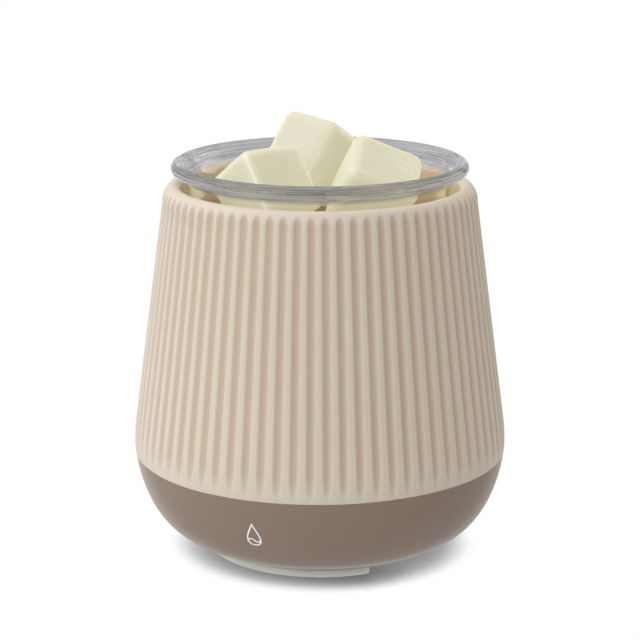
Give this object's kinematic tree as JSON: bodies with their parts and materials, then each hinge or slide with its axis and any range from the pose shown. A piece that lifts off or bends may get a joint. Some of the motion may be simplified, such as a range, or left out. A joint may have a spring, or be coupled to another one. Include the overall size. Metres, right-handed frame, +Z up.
{
  "type": "wax warmer pot",
  "caption": "Fluted ceramic wax melt warmer with a lift-out glass dish on a hot plate, wax cubes and a coiled cord with an in-line rocker switch.",
  "frame": {"origin": "on the floor, at the middle of the front foot's underside, where the pot rests", "axes": "+Z up, parallel to the pot's axis, which stands 32 mm behind the origin at y = +0.032; the front, which carries the small mark, faces -Y; the cord leaves at +Y"},
  "size_m": [0.1624, 0.2149, 0.1377],
  "materials": {
    "cream_glaze": "satin matte cream glaze with a taupe glaze below",
    "clear_glass": "clear polished",
    "wax": "pale yellow translucent wax",
    "aluminium": "turned",
    "steel": "zinc plated",
    "brass": "bright",
    "heater_cement": "matte",
    "mica": "matte board",
    "silicone": "grey-green satin",
    "base_plastic": "moulded",
    "block_plastic": "moulded",
    "lead_sleeve": "sleeved",
    "cord": "satin off-white",
    "rocker": "satin taupe",
    "tie": "woven"
  },
  "bodies": {
    "pot": {"ceramic_shell": "cream_glaze", "heater_plate": "aluminium", "heater_cup": "steel", "cup_gasket": "silicone", "heating_element": "heater_cement", "insulation_disc": "mica", "element_clamp": "steel", "clamp_stud": "steel", "clamp_nut": "steel", "thermal_fuse": "brass", "fuse_clip": "steel", "fuse_screw": "steel", "base_plate": "base_plastic", "foot_front": "silicone", "foot_rear": "silicone", "tie_rod_front": "steel", "tie_rod_left": "steel", "tie_rod_right": "steel", "tie_nut_front": "steel", "tie_nut_left": "steel", "tie_nut_right": "steel", "terminal_block": "block_plastic", "terminal_screw_left": "steel", "terminal_screw_right": "steel", "lead_live": "lead_sleeve", "lead_neutral": "lead_sleeve", "power_cord_pot": "cord", "power_cord_plug": "cord", "cord_grommet": "cord", "cord_clamp": "block_plastic", "cord_clamp_screw_left": "steel", "cord_clamp_screw_right": "steel", "cord_tie": "tie", "switch_housing_lower": "cord", "switch_housing_upper": "cord", "rocker_pin": "steel", "switch_contact": "brass", "switch_screw_front": "steel", "switch_screw_rear": "steel", "plug_body": "cord", "plug_blade_left": "brass", "plug_blade_right": "brass"},
    "dish": {"glass_dish": "clear_glass"},
    "wax_left": {"wax_cube_left": "wax"},
    "wax_rear": {"wax_cube_rear": "wax"},
    "wax_right": {"wax_cube_right": "wax"},
    "rocker": {"switch_rocker": "rocker"}
  },
  "joints": [
    {"name": "dish_lift", "type": "slide", "parent": "pot", "child": "dish", "axis": [0, 0, 1], "range_m": [0, 0.06]},
    {"name": "wax_left_lift", "type": "slide", "parent": "dish", "child": "wax_left", "axis": [0, 0, 1], "range_m": [0, 0.045]},
    {"name": "wax_rear_lift", "type": "slide", "parent": "dish", "child": "wax_rear", "axis": [0, 0, 1], "range_m": [0, 0.045]},
    {"name": "wax_right_lift", "type": "slide", "parent": "dish", "child": "wax_right", "axis": [0, 0, 1], "range_m": [0, 0.045]},
    {"name": "rocker_tip", "type": "hinge", "parent": "pot", "child": "rocker", "pos_m": [-0.033, 0.1425, 0.014], "axis": [1, 0, 0], "range_deg": [0, 16]}
  ]
}
